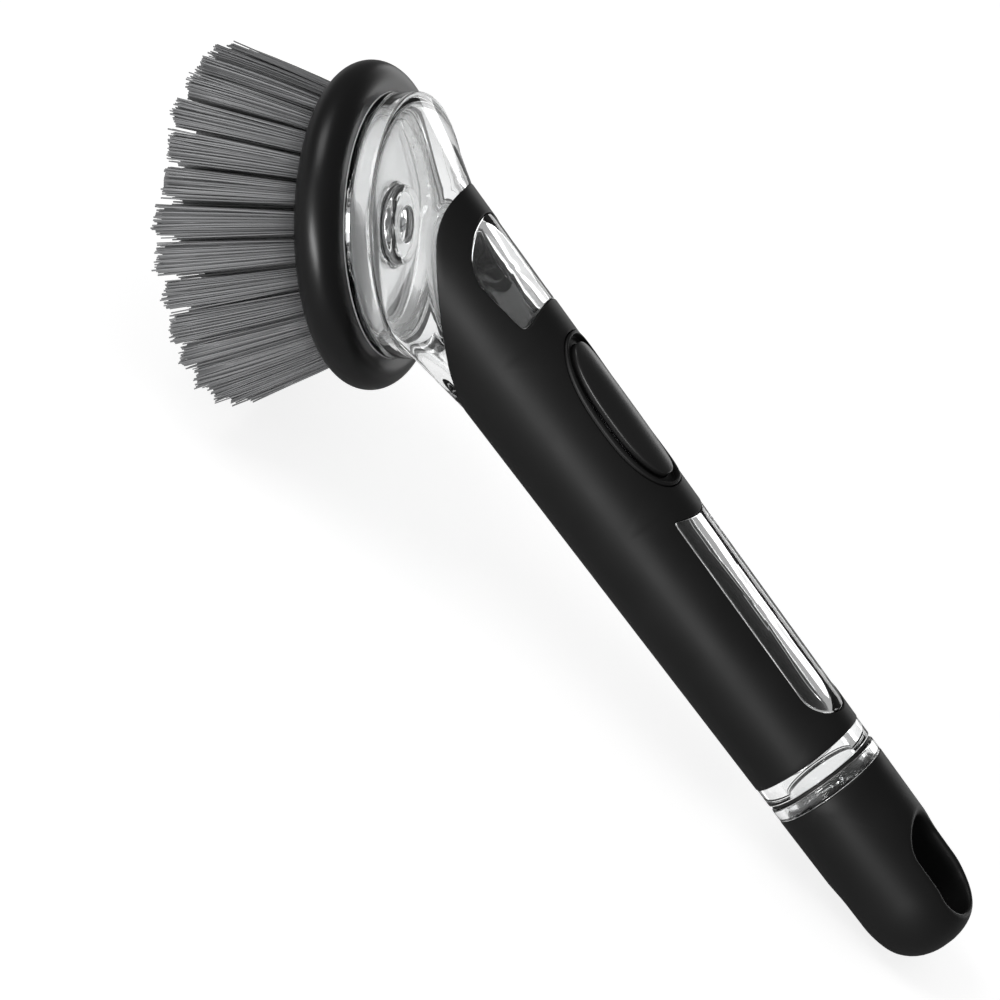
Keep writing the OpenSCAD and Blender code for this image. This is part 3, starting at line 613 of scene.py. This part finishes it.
def clearTail():
    # a lathe line round the band, the neck and the bore, with the thread raised from the neck
    band = gripRadius(handle["gripEnd"]) - tail["bandInset"]
    bore = tail["neckRadius"] - tail["neckWall"]
    neck = tail["neckRadius"]
    start, shoulder, end = tail["bandStart"], tail["shoulder"], tail["neckEnd"]
    profile = closedLine([(bore, start, 0), (band, start, 0.1), (band, shoulder, 0.35), (neck, shoulder, 0.3),
                          (neck, end, 0.4), (bore, end, 0.3)], tail["spacing"])
    thread = threaded(neck, tail["threadHeight"], 0)
    return revolved(profile, onHandle, turns=tail["angles"], shapeRadius=thread)


def ovalRows(rows, count=256):
    # rings on the oval: (inset, share of the way out from the middle, height, height is over the grip)
    grid = []
    for inset, share, height, overGrip in rows:
        loop = ovalOutline(inset, count)
        s = recess["centre"] + (loop[:, 0] - recess["centre"]) * share
        y = loop[:, 1] * share
        x = np.sqrt((gripRadius(s) + height) ** 2 - y ** 2) if overGrip else height + 0 * s
        grid.append(onHandle(x, y, s))
    return np.array(grid)


def onButtonAxis(a, b, x):      # x out of the button, a across and b along the handle
    return onHandle(x, a, recess["centre"] + b)


def lofted(loops):
    # a closed solid through loops of points, closed at both ends by their middles
    ends = [np.repeat(loop.mean(0)[None], len(loop), 0) for loop in (loops[0], loops[-1])]
    return surface(np.array([ends[0], *loops, ends[1]]))


def pumpDeck():
    # under the button: an oval frame, the cup of the spring as a lathe shape, and two arms between them
    low, top, floor = deck["cupLow"], deck["bridgeTop"], deck["cupLow"] + deck["cupFloor"]
    edge = rounded([(deck["outerInset"], deck["bottom"], 0.2), (deck["outerInset"], deck["top"], 0.1),
                    (deck["innerInset"], deck["top"], 0.3), (deck["innerInset"], deck["bottom"], 0.2)])
    plate = surface(ovalRows([(inset, 1, x, False) for inset, x in edge]), wrapRows=True)
    outer, bore = deck["cupRadius"], deck["cupBore"]
    cupLine = rounded([(0, low, 0), (outer, low, 0.4), (outer, top, 0.15), (bore, top, 0.15),
                       (bore, floor, 0.2), (0, floor, 0)], closed=False)
    cup = revolved(cupLine, onButtonAxis, closed=False, turns=deck["angles"])
    half = deck["bridgeHalf"]
    block = rounded([(-half, deck["bottom"], 0.3), (half, deck["bottom"], 0.3), (half, top, 0.3),
                     (-half, top, 0.3)], steps=2)
    ends = (outer - 0.5, recess["halfWidth"] - deck["innerInset"] + 0.4)      # inside cup and frame
    arms = [lofted([onHandle(block[:, 1], side * y, recess["centre"] + block[:, 0]) for y in ends])
            for side in (-1, 1)]
    return joined(plate, cup, *arms)


tube = barrelShell(sleeveDepth, boreDepth, handle["clearLip"], handle["frontHeight"], handle["gripEnd"],
                   gripOutlines)
panes = [windowPane(window, handle["flush"], sleeveDepth, boreDepth) for window in (frontWindow, rearWindow)]
makePiece("reservoir_clear", joined(clearHead(), tube, *panes, clearTail(), pumpDeck()), "body",
          "clear_plastic", ["reservoir"])
print("clear body made")


# Button and the bezel round it

button = {"inset": 3.0, "low": 13.42, "proud": 0.3, "crown": 0.25, "edge": 0.5}
bezel = {"gap": 0.25, "lip": 0.8, "proud": 0.3, "floor": -1.3, "innerInset": 2.9, "low": 10.3}


def padRows():
    # flat underneath, a rounded edge, and a crown that falls with the square of the way out
    rows = [(button["inset"], share, button["low"], False) for share in (0, 0.5, 1)]
    for bend in np.linspace(0, quarter, 7):
        rows.append((button["inset"] + button["edge"] * (1 - math.cos(bend)), 1,
                     button["proud"] - button["edge"] * (1 - math.sin(bend)), True))
    for share in (0.94, 0.86, 0.74, 0.6, 0.45, 0.3, 0.15, 0):
        rows.append((button["inset"] + button["edge"], share,
                     button["proud"] + button["crown"] * (1 - share ** 2), True))
    return rows


def bezelRows():
    # up the outside, over the thin lip, down to the sunken floor and down again beside the button
    outer, inner, lipEnd = bezel["gap"], bezel["innerInset"], bezel["gap"] + bezel["lip"]
    top, floor = bezel["proud"], bezel["floor"]
    line = rounded([(outer, -0.5, 0), (outer, top, 0.3), (lipEnd, top, 0.34), (lipEnd, floor, 0.3),
                    (inner, floor, 0.2), (inner, floor - 0.4, 0)], closed=False)
    return [(outer, 1, bezel["low"], False), *[(inset, 1, h, True) for inset, h in line],
            (inner, 1, bezel["low"], False)]


makePiece("button_soft_pad", surface(ovalRows(padRows())), "button", "soft_black_rubber", ["button_pad"],
          look="button_rubber")
makePiece("button_bezel_lip", surface(ovalRows(bezelRows()), wrapRows=True), "body", "black_plastic",
          ["button_bezel"])
print("button made")


# Tail cap: sealing ring, clear collar and black cover with its hanging hole

cap = {"start": 157.8, "length": 45.0, "radius": 14.05, "taper": 0.014, "round": 16.0, "power": 2.4,
       "bore": 12.95, "boreEnd": 170.1, "mouthLip": 0.35, "holeMargin": 4.0, "holeLength": 24.5,
       "holeWidth": 15.0, "holeLip": 1.8, "holeLipSteps": 7, "sideCount": 64}
gasket = {"from": 153.6, "to": 154.4, "inner": 12.0, "outer": 13.53}
collar = {"from": 154.5, "to": 157.75, "outer": 13.98, "bore": 12.0, "sleeve": 12.9, "floor": 168.0,
          "floorWall": 1.6, "ventRadius": 1.2, "threadHeight": -0.65, "firstTurn": 90, "spacing": 0.28}
roundStart = cap["start"] + cap["length"] - cap["round"]


def capRadius(s):
    # a straight taper, then a round end: (1 - share ** power) ** (1 / power)
    straight = cap["radius"] - cap["taper"] * (np.minimum(s, roundStart) - cap["start"])
    share = np.clip((s - roundStart) / cap["round"], 0, 1)
    return straight * np.maximum(0, 1 - share ** cap["power"]) ** (1 / cap["power"])


def toStation(s):
    # place along the cap as a distance that is stretched over its round end
    share = np.clip((s - roundStart) / cap["round"], -1, 1)
    return np.where(s < roundStart, s, roundStart + cap["round"] * np.arcsin(share))


def fromStation(q):
    # and back
    share = np.clip((q - roundStart) / cap["round"], 0, quarter)
    return np.where(q < roundStart, q, roundStart + cap["round"] * np.sin(share))


def holeOutline():
    # two half circles with straight sides between them
    radius = cap["holeWidth"] / 2
    end = cap["start"] + cap["length"] - cap["holeMargin"]
    tailArc = arc((end - radius, 0), radius, -quarter, quarter, 80)
    headArc = arc((end - cap["holeLength"] + radius, 0), radius, quarter, 3 * quarter, 80)
    return np.concatenate([tailArc, headArc])


def capCover():
    # on each side a skin from the rounded edge of the hole out to the cap's mouth, its end and the seam
    # between both sides; the hole's wall runs straight through, and the mouth is a lathe shape
    u, v = squareEdge(cap["sideCount"])
    loop = atSquareAngles(holeOutline(), u, v)
    phi = v * quarter
    first, last = cap["start"] + cap["mouthLip"], cap["start"] + cap["length"]
    border = (toStation(first) + (toStation(np.array(last)) - toStation(first)) * (u + 1) / 2, phi, 0 * phi)
    lips = lipRings(loop, 0, cap["holeLip"], capRadius, cap["holeLipSteps"])
    lipEnd = (toStation(lips[-1][0]), *lips[-1][1:])
    skin = [(fromStation(q), p, d) for q, p, d in ringsBetween(lipEnd, border, outwardShares)]
    s, phi, depth = (np.array([ring[k] for ring in lips + skin]) for k in range(3))
    r = np.maximum(capRadius(s) - depth, 0)
    x, y = r * np.cos(phi), r * np.sin(phi)
    sides = [surface(onHandle(side * x, y, s)) for side in (1, -1)]
    through = np.linspace(-1, 1, 14)[:, None]
    wall = surface(onHandle(through * x[0], y[0] + 0 * through, s[0] + 0 * through))
    angle = np.linspace(-quarter, quarter, cap["sideCount"] + 1)
    angle = np.concatenate([angle, angle[1:-1] + math.pi])
    bend, lip, bore = np.linspace(0, quarter, 5), cap["mouthLip"], cap["bore"]
    edge = np.stack([capRadius(first) - lip * (1 - np.cos(bend)), first - lip * np.sin(bend)], 1)
    line = np.vstack([edge, [(bore, cap["start"]), (bore, cap["boreEnd"]), (bore / 2, cap["boreEnd"]),
                             (0, cap["boreEnd"])]])
    r, s = line[:, :1], line[:, 1:]
    mouth = surface(onHandle(r * np.cos(angle), r * np.sin(angle), s))
    return joined(*sides, wall, mouth)


def gasketShape():
    # a lathe line with rounded corners
    line = rounded([(gasket["inner"], gasket["from"], 0.2), (gasket["outer"], gasket["from"], 0.3),
                    (gasket["outer"], gasket["to"], 0.3), (gasket["inner"], gasket["to"], 0.2)])
    return revolved(line, onHandle)


def collarShape():
    # a lathe line round the ring, the sleeve inside the cover, its floor with the vent, and the threaded bore
    outer, sleeve, vent, bore = (collar[key] for key in ("outer", "sleeve", "ventRadius", "bore"))
    under, floor = collar["floor"], collar["floor"] + collar["floorWall"]
    line = closedLine([
        (outer, collar["from"], 0.35), (outer, collar["to"], 0.2), (sleeve, collar["to"], 0.1),
        (sleeve, floor, 0.4), (vent, floor, 0.1), (vent, under, 0.1), (bore, under, 0.3),
        (bore, collar["from"], 0.2)], collar["spacing"])
    return revolved(line, onHandle, shapeRadius=threaded(bore, collar["threadHeight"], collar["firstTurn"]))


makePiece("cap_cover_soft", capCover(), "cap", "soft_black_rubber", ["cap_cover"])
makePiece("cap_gasket_ring", gasketShape(), "cap_seal", "black_seal", ["cap_gasket"])
makePiece("cap_collar_clear", collarShape(), "cap", "clear_plastic", ["cap_collar"])
print("tail cap made")


# Brush head: rounded ring, the bed of the tufts, and the tufts themselves

ring = {"radius": 37.0, "thickness": 10.6, "innerRadius": 30.0, "lineAngle": -58, "lineStep": 0.22,
        "angles": 256}
bed = {"outer": 29.95, "inner": 3.5, "thickness": 1.4, "dimple": 0.55, "dimpleRadius": 2.5, "angles": 336,
       "circles": 60}
tufts = {"outerCount": 28, "fewer": 6, "rootInset": 2.95, "rootDepth": 0.7, "rowPitch": 6.4,
         "tipRadius": 38.15, "tipPitch": 10.0, "length": 31.4, "rootSpread": 2.3, "tipSpread": 3.6,
         "flatness": 0.8, "uneven": 0.9, "jag": 1.2, "tuftUneven": 2.6, "strands": 64, "stations": 6,
         "thick": 0.25, "thin": 0.20, "thickRange": (0.85, 1.12), "bow": 0.9, "bowOut": (0.3, 0.25),
         "bowSide": (0, 0.15), "stray": 0.3, "tuftStray": 0.5, "aboveWorktop": 0.25,
         "coreShare": 0.8, "coreLength": 0.93, "coreSides": 14, "coreRings": 5, "coreAboveWorktop": 0.3}
# tones of the strands: root, more and power are painted shade, dark at the root and paler towards the tip;
# uneven is a random tone per strand, and core is the tone of each tuft's middle
toneAndPaintedShade = {"root": 0.30, "more": 0.42, "power": 0.7, "uneven": 0.09, "range": (0.05, 1), "core": 0.42}
goldenAngle = 2.39996      # spreads the strands of a tuft evenly, like the seeds of a sunflower
rowNames = ["outer", "second", "third", "inner"]


def ringLine():
    # a full round outside, with a fine step near the bristles that catches the light
    r = ring["thickness"] / 2
    centre = (ring["radius"] - r, -r)
    step = math.radians(ring["lineAngle"])
    upper = arc(centre, r, quarter, step, 48)
    lower = arc(centre, r - ring["lineStep"], step - 0.02, -quarter, 14)
    low = -ring["thickness"] + ring["lineStep"]
    return np.concatenate([upper, lower, [(ring["innerRadius"], low), (ring["innerRadius"], 0)]])


makePiece("rim_bumper_round", revolved(ringLine(), onHead, turns=ring["angles"]), "brush_head",
          "gloss_black_plastic", ["rim_bumper"], look="ring_plastic")


def tuftPlaces(row):
    # the angles of a row's tufts, and its radius
    count = tufts["outerCount"] - row * tufts["fewer"]
    radius = bed["outer"] - row * tufts["rowPitch"] - tufts["rootInset"]
    return (np.arange(count) + 0.5) * fullTurn / count, radius


def tuftBed():
    # a disc whose lower face dips towards each tuft: depth falls with the square of the distance
    angle = np.linspace(0, fullTurn, bed["angles"], endpoint=False)
    radius = np.linspace(bed["inner"], bed["outer"], bed["circles"])[:, None]
    low = -ring["thickness"] + 0 * radius * angle
    for row in range(len(rowNames)):
        places, r = tuftPlaces(row)
        away = (angle[None, :] - places[:, None] + math.pi) % fullTurn - math.pi
        nearest = np.abs(away).min(0)
        distance = np.hypot(radius - r, radius * nearest)
        low = low + bed["dimple"] * np.clip(1 - (distance / bed["dimpleRadius"]) ** 2, 0, 1)
    x, y = radius * np.cos(angle), radius * np.sin(angle)
    high = onHead(x, y, bed["thickness"] - ring["thickness"])
    return surface(np.concatenate([onHead(x, y, low), high[::-1]]), wrapRows=True)


rowNodes = [f"bristles_{name}_row" for name in rowNames]
makePiece("tuft_bed", tuftBed(), "brush_head", "black_plastic", rowNodes)


def tuftStrands(row, chance):
    # strands of four sides: straight from root to tip, plus a bow that is widest in the middle of the way
    places, rootRadius = tuftPlaces(row)
    each, stations = tufts["strands"], tufts["stations"]
    number = len(places) * each

    def perTuft(values):
        return np.repeat(values, each, axis=-1)

    turn = perTuft(places)
    k = np.tile(np.arange(each) + 0.5, len(places))
    wheel = k * goldenAngle + perTuft(chance.uniform(0, fullTurn, len(places)))
    out = np.sqrt(k / each)
    outX, outY = out * np.cos(wheel), out * np.sin(wheel)
    lean = perTuft(chance.normal(0, 1, (2, len(places))))
    strayX, strayY = (tufts["stray"] * (chance.normal(0, 1, number) + tufts["tuftStray"] * tilt)
                      for tilt in lean)
    rootX, rootY = rootRadius + tufts["rootSpread"] * outX, tufts["rootSpread"] * outY
    tipRadius = tufts["tipRadius"] - row * tufts["tipPitch"]
    tipX = tipRadius + tufts["tipSpread"] * tufts["flatness"] * outX + strayX
    tipY = tufts["tipSpread"] * outY + strayY
    shorter = perTuft(chance.uniform(0, tufts["tuftUneven"], len(places)))
    jag = 0.5 + 0.5 * np.sin(3 * wheel + perTuft(chance.uniform(0, fullTurn, len(places))))
    length = tufts["length"] - shorter - tufts["uneven"] * (chance.random(number) + tufts["jag"] * jag * out)
    t = np.linspace(0, 1, stations)[:, None]
    bow = 4 * tufts["bow"] * t * (1 - t)
    x = rootX + (tipX - rootX) * t + bow * chance.normal(*tufts["bowOut"], number)
    y = rootY + (tipY - rootY) * t + bow * chance.normal(*tufts["bowSide"], number)
    z = -ring["thickness"] + tufts["rootDepth"] - (length + tufts["rootDepth"]) * t
    c, s = np.cos(turn), np.sin(turn)
    line = onHead(x * c - y * s, x * s + y * c, z)
    # strands that would pass under the worktop are cut off at it
    foot = tufts["aboveWorktop"] - line[-1, :, 2]
    keep = np.where(foot > 0, 1 - foot / np.maximum(line[0, :, 2] - line[-1, :, 2], 1), 1)
    line = line[0] + (line - line[0]) * keep[:, None]
    thick = tufts["thick"] + (tufts["thin"] - tufts["thick"]) * t ** 2
    thick = thick * chance.uniform(*tufts["thickRange"], number)
    spin = chance.uniform(0, quarter, number)
    corners = []
    for corner in range(4):
        a = spin + corner * quarter
        offset = (np.cos(a)[:, None] * (headTail * c[:, None] + sideways * s[:, None])
                  + np.sin(a)[:, None] * (sideways * c[:, None] - headTail * s[:, None]))
        corners.append(line + thick[..., None] * offset)
    points = np.stack(corners, 2).transpose(1, 0, 2, 3)      # strand, station, corner
    root = np.arange(4)
    oneStrand = np.vstack([gridFaces(stations, 4, False, True), root[::-1], root + 4 * (stations - 1)])
    faces = (oneStrand + (np.arange(number) * stations * 4)[:, None, None]).reshape(-1, 4)
    # painted shade: each strand darker at its root and paler towards its tip, then a random tone per strand
    # on top
    shade = toneAndPaintedShade["root"] + toneAndPaintedShade["more"] * t[:, 0] ** toneAndPaintedShade["power"]
    shade = np.clip(shade + chance.normal(0, toneAndPaintedShade["uneven"], (number, 1)), *toneAndPaintedShade["range"])
    return (points.reshape(-1, 3), faces), np.repeat(shade, 4, axis=1).ravel()


def tuftCores(row):
    # the middle of each tuft, as a cone under its outer strands
    places, rootRadius = tuftPlaces(row)
    spin = np.linspace(0, fullTurn, tufts["coreSides"], endpoint=False)
    t = np.linspace(0, tufts["coreLength"], tufts["coreRings"])
    width = tufts["coreShare"] * (tufts["rootSpread"] + (tufts["tipSpread"] - tufts["rootSpread"]) * t)
    share = np.concatenate([[0], t, [tufts["coreLength"]]])[:, None]      # both ends close in a point
    width = np.concatenate([[0], width, [0]])[:, None]
    flat = 1 + (tufts["flatness"] - 1) * share
    tipRadius = tufts["tipRadius"] - row * tufts["tipPitch"]
    x = rootRadius + (tipRadius - rootRadius) * share + width * flat * np.cos(spin)
    y = width * np.sin(spin)
    z = -ring["thickness"] + tufts["rootDepth"] - tufts["length"] * share
    cores = []
    for place in places:
        c, s = math.cos(place), math.sin(place)
        grid = onHead(x * c - y * s, x * s + y * c, z)
        grid[..., 2] = np.maximum(grid[..., 2], tufts["coreAboveWorktop"])
        cores.append(surface(grid))
    return joined(*cores)


chance = np.random.default_rng(7)
for row, name in enumerate(rowNames):
    shape, shade = tuftStrands(row, chance)
    core = tuftCores(row)
    # the cores take one tone; the strands keep their random tone together with the painted shade at their
    # roots
    shade = np.concatenate([shade, np.full(len(core[0]), toneAndPaintedShade["core"])])
    piece = makePiece(f"tufts_{name}", joined(shape, core), "brush_head", "grey_bristle", [rowNodes[row]],
                      weld=False)
    piece.data.attributes.new("shade", "FLOAT", "POINT").data.foreach_set("value", shade.astype(np.float32))
print("brush head made")


# CAD nodes that keep their shape get their finish

nodeLooks = {"button_carrier": "black_plastic", "pump_bellows": "silicone", "return_spring": "spring_steel",
             "outlet_valve": "silicone", "valve_retainer": "black_plastic", "head_seal": "silicone",
             "spout_seal": "silicone", "brush_plate": "pale_plate", "vent_valve": "silicone"}
for name, look in nodeLooks.items():
    node = frame["nodes"][name]
    node.data.materials.clear()
    node.data.materials.append(looks[look])


# Floor, light and camera

stageLook = {"floorSize": 12.0, "floorColour": 0.50, "floorGlow": 0.76, "worldLight": 0.34,
             "worldGloss": 0.12, "worldThrough": 0.42, "worldInside": 1.1}
lamps = {
    "key": {"place": (-0.16, -1.5, 0.16), "size": (0.95, 0.34), "power": 17},
    "side": {"place": (-1.0, -1.3, 0.42), "size": (0.7, 0.9), "power": 1.6},
    "fill": {"place": (-1.2, -0.5, 1.3), "size": (0.8, 0.8), "power": 8},
    "rear": {"place": (0.55, 1.6, 0.2), "size": (1.8, 0.5), "power": 5.5}}
cameraPlace = {"place": (20.03, -1011.11, 592.0), "aim": (-13.81, 0.0, 22.03), "roll": -39.54, "lens": 184.25}


def seenDirectly(nodes, links):
    # 1 for rays that show the surroundings: straight from the camera or through the clear plastic
    path = nodes.new("ShaderNodeLightPath")
    most = nodes.new("ShaderNodeMath")
    most.operation = "MAXIMUM"
    links.new(path.outputs["Is Camera Ray"], most.inputs[0])
    links.new(path.outputs["Is Transmission Ray"], most.inputs[1])
    return most.outputs[0]


def makeFloor():
    # a matt white square that also glows for the rays that show the surroundings
    half = stageLook["floorSize"] / 2
    mesh = bpy.data.meshes.new("floor")
    corners = [(-half, -half, 0), (half, -half, 0), (half, half, 0), (-half, half, 0)]
    mesh.from_pydata(corners, [], [(0, 1, 2, 3)])
    floor = bpy.data.objects.new("floor", mesh)
    bpy.context.scene.collection.objects.link(floor)
    material = bpy.data.materials.new("floor_white")
    material.use_nodes = True
    nodes, links = material.node_tree.nodes, material.node_tree.links
    nodes.clear()
    matt = nodes.new("ShaderNodeBsdfDiffuse")
    matt.inputs["Color"].default_value = (*[stageLook["floorColour"]] * 3, 1)
    glow = nodes.new("ShaderNodeEmission")
    strength = nodes.new("ShaderNodeMath")
    strength.operation = "MULTIPLY"
    strength.inputs[1].default_value = stageLook["floorGlow"]
    links.new(seenDirectly(nodes, links), strength.inputs[0])
    links.new(strength.outputs[0], glow.inputs["Strength"])
    both = nodes.new("ShaderNodeAddShader")
    out = nodes.new("ShaderNodeOutputMaterial")
    links.new(matt.outputs[0], both.inputs[0])
    links.new(glow.outputs[0], both.inputs[1])
    links.new(both.outputs[0], out.inputs["Surface"])
    mesh.materials.append(material)


def makeWorld():
    world = bpy.data.worlds.new("studio")
    bpy.context.scene.world = world
    world.use_nodes = True
    nodes, links = world.node_tree.nodes, world.node_tree.links
    background = nodes["Background"]
    background.inputs["Color"].default_value = (1, 1, 1, 1)

    def chosen(ray, otherwise, level):
        # level for that kind of ray and the other strength for the rest; each is a number or a socket
        choice = nodes.new("ShaderNodeMapRange")
        for socket, value in (("To Min", otherwise), ("To Max", level)):
            if isinstance(value, float):
                choice.inputs[socket].default_value = value
            else:
                links.new(value, choice.inputs[socket])
        links.new(nodes.new("ShaderNodeLightPath").outputs[ray], choice.inputs["Value"])
        return choice.outputs["Result"]

    # reflections see a darker room than the pieces are lit by
    lightOrGloss = chosen("Is Glossy Ray", stageLook["worldLight"], stageLook["worldGloss"])
    # matt pieces behind the clear plastic are lit through it
    through = chosen("Diffuse Depth", stageLook["worldThrough"], stageLook["worldInside"])
    unseen = chosen("Is Transmission Ray", lightOrGloss, through)
    links.new(chosen("Is Camera Ray", unseen, 1.0), background.inputs["Strength"])


def makeLamp(name, values):
    # a rectangle of light that faces the middle of the floor
    data = bpy.data.lights.new(name, "AREA")
    data.shape = "RECTANGLE"
    data.size, data.size_y = values["size"]
    data.energy = values["power"]
    lamp = bpy.data.objects.new(name, data)
    bpy.context.scene.collection.objects.link(lamp)
    place = np.array(values["place"])
    lamp.location = place
    lamp.rotation_mode = "QUATERNION"
    lamp.rotation_quaternion = Vector(-place).to_track_quat("-Z", "Y")


def makeCamera():
    # looks from its place at the aim, rolled about its own line of sight
    data = bpy.data.cameras.new("camera")
    data.lens = cameraPlace["lens"]
    data.sensor_width = 36
    data.clip_start, data.clip_end = 0.05, 50
    camera = bpy.data.objects.new("camera", data)
    bpy.context.scene.collection.objects.link(camera)
    place, aim = (np.array(cameraPlace[k]) * mm for k in ("place", "aim"))
    back = unit(place - aim)
    right = unit(np.cross([0, 0, 1], back))
    up = np.cross(back, right)
    roll = math.radians(cameraPlace["roll"])
    turned = right * math.cos(roll) - up * math.sin(roll)
    matrix = np.identity(4)
    matrix[:3] = np.stack([turned, np.cross(back, turned), back, place], 1)
    camera.matrix_world = Matrix(matrix.tolist())
    bpy.context.scene.camera = camera


makeFloor()
makeWorld()
for lampName, values in lamps.items():
    makeLamp(lampName, values)
makeCamera()
bpy.context.scene.view_settings.view_transform = "Standard"
print("stage made")
